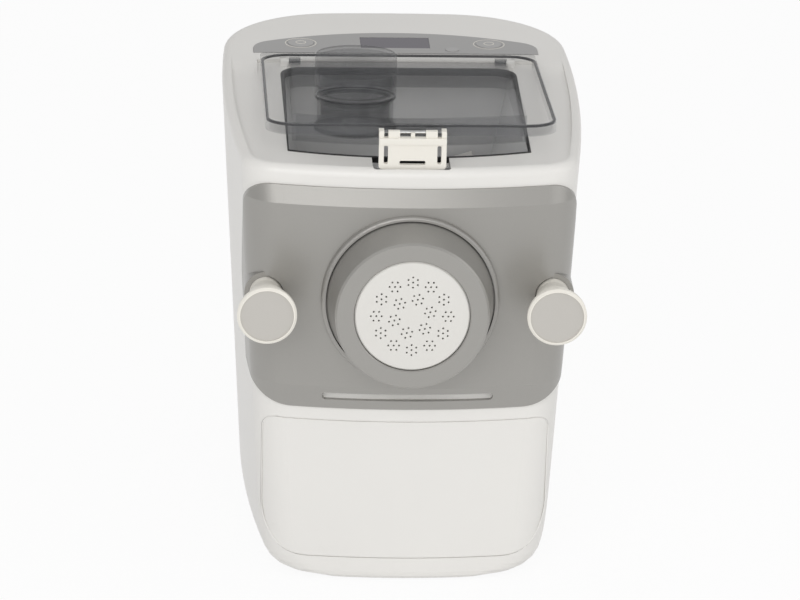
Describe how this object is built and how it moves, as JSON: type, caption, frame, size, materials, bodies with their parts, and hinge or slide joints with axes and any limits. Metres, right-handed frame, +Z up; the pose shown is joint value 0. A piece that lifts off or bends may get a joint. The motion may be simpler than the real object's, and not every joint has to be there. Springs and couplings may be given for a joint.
{
  "type": "electric pasta maker",
  "caption": "Countertop electric pasta maker with clear hinged lid, mixing chamber, driven paddle and auger, shaping disc under a nut, fixing knobs and storage drawer.",
  "frame": {"origin": "on the standing surface under the middle of the machine's whole box", "axes": "+X to the right of a person facing the machine's front, +Y from front to back, +Z up; pasta leaves towards -Y"},
  "size_m": [0.2154, 0.348, 0.3019],
  "materials": {
    "white_housing": "smooth warm white moulding",
    "silver_panel": "warm silver metallic lacquer",
    "smoke_clear": "clear smoke grey moulding",
    "cream_latch": "cream white moulding",
    "knob_face": "warm grey satin insert",
    "disc_white": "white satin moulding",
    "fascia_grey": "grey satin control panel",
    "display_dark": "dark display window",
    "button_grey": "grey satin button",
    "steel": "turned steel",
    "brass": "plain brass",
    "black_rubber": "black rubber",
    "paddle_white": "white food grade moulding",
    "gear_nylon": "natural nylon",
    "board_green": "circuit board lacquer",
    "black_plastic": "black moulding"
  },
  "bodies": {
    "machine": {"housing_shell": "white_housing", "top_deck": "white_housing", "base_plate": "black_plastic", "rubber_feet": "black_rubber", "inner_floor": "black_plastic", "chamber_cradle": "black_plastic", "mixing_chamber": "smoke_clear", "chamber_bush": "brass", "front_plate_bush": "brass", "rear_plate_bush": "brass", "extrusion_tube": "disc_white", "shaping_disc": "disc_white", "front_panel": "silver_panel", "knob_inserts": "brass", "control_fascia": "fascia_grey", "display_window": "display_dark", "display_module": "black_plastic", "control_board": "board_green", "power_board": "board_green", "lid_switch": "black_plastic", "lid_hinge_pins": "steel", "idler_pin": "steel", "motor_body": "steel", "gear_plate_front": "steel", "gear_plate_rear": "steel", "gear_spacers": "steel", "cord_gland": "black_rubber", "latch_strike": "white_housing"},
    "lid": {"lid_panel": "smoke_clear", "water_inlet": "smoke_clear", "inlet_seal": "black_rubber", "latch_pin": "steel"},
    "latch": {"lid_latch": "cream_latch"},
    "nut": {"extruder_nut": "silver_panel"},
    "left_knob": {"left_knob": "cream_latch", "left_knob_cap": "knob_face", "left_knob_stud": "steel"},
    "right_knob": {"right_knob": "cream_latch", "right_knob_cap": "knob_face", "right_knob_stud": "steel"},
    "drawer": {"drawer_front": "white_housing", "drawer_tray": "white_housing"},
    "main_shaft": {"drive_shaft": "steel", "mixing_paddle": "paddle_white", "auger": "paddle_white", "final_gear": "gear_nylon"},
    "reduction": {"reduction_gear": "gear_nylon"},
    "rotor": {"motor_pinion": "steel", "motor_shaft": "steel", "cooling_fan": "black_plastic"},
    "start_button": {"start_button": "button_grey"},
    "program_button": {"program_button": "button_grey"},
    "select_button": {"select_button": "button_grey"}
  },
  "joints": [
    {"name": "lid_hinge", "type": "hinge", "parent": "machine", "child": "lid", "pos_m": [0, 0.0655, 0.2589], "axis": [-1, 0, 0], "range_deg": [-5.4, 80]},
    {"name": "latch_hinge", "type": "hinge", "parent": "lid", "child": "latch", "pos_m": [0, -0.12821, 0.27751], "axis": [-1, 0, 0], "range_deg": [0, 70]},
    {"name": "nut_turn", "type": "hinge", "parent": "machine", "child": "nut", "pos_m": [0, -0.1735, 0.181], "axis": [0, -1, 0], "range_deg": [0, 90]},
    {"name": "left_knob_turn", "type": "hinge", "parent": "machine", "child": "left_knob", "pos_m": [-0.0834, -0.1735, 0.181], "axis": [0, -1, 0], "range_deg": [0, 720]},
    {"name": "right_knob_turn", "type": "hinge", "parent": "machine", "child": "right_knob", "pos_m": [0.0834, -0.1735, 0.181], "axis": [0, -1, 0], "range_deg": [0, 720]},
    {"name": "drawer_slide", "type": "slide", "parent": "machine", "child": "drawer", "axis": [0, -1, 0], "range_m": [0, 0.17]},
    {"name": "shaft_spin", "type": "hinge", "parent": "machine", "child": "main_shaft", "pos_m": [0, 0.0175, 0.181], "axis": [0, 1, 0], "continuous": true},
    {"name": "reduction_spin", "type": "hinge", "parent": "machine", "child": "reduction", "pos_m": [0.02367, 0.0175, 0.13025], "axis": [0, 1, 0], "continuous": true},
    {"name": "rotor_spin", "type": "hinge", "parent": "machine", "child": "rotor", "pos_m": [0, 0.0175, 0.09197], "axis": [0, 1, 0], "continuous": true},
    {"name": "start_button_press", "type": "slide", "parent": "machine", "child": "start_button", "axis": [0, 0, -1], "range_m": [0, 0.001], "stiffness_N_per_m": 300, "springref_m": -0.001},
    {"name": "program_button_press", "type": "slide", "parent": "machine", "child": "program_button", "axis": [0, 0, -1], "range_m": [0, 0.001], "stiffness_N_per_m": 300, "springref_m": -0.001},
    {"name": "select_button_press", "type": "slide", "parent": "machine", "child": "select_button", "axis": [0, 0, -1], "range_m": [0, 0.001], "stiffness_N_per_m": 300, "springref_m": -0.001}
  ],
  "couplings": [
    {"joint": "reduction_spin", "follows": "shaft_spin", "ratio": -3.5714},
    {"joint": "rotor_spin", "follows": "shaft_spin", "ratio": 14.286}
  ]
}
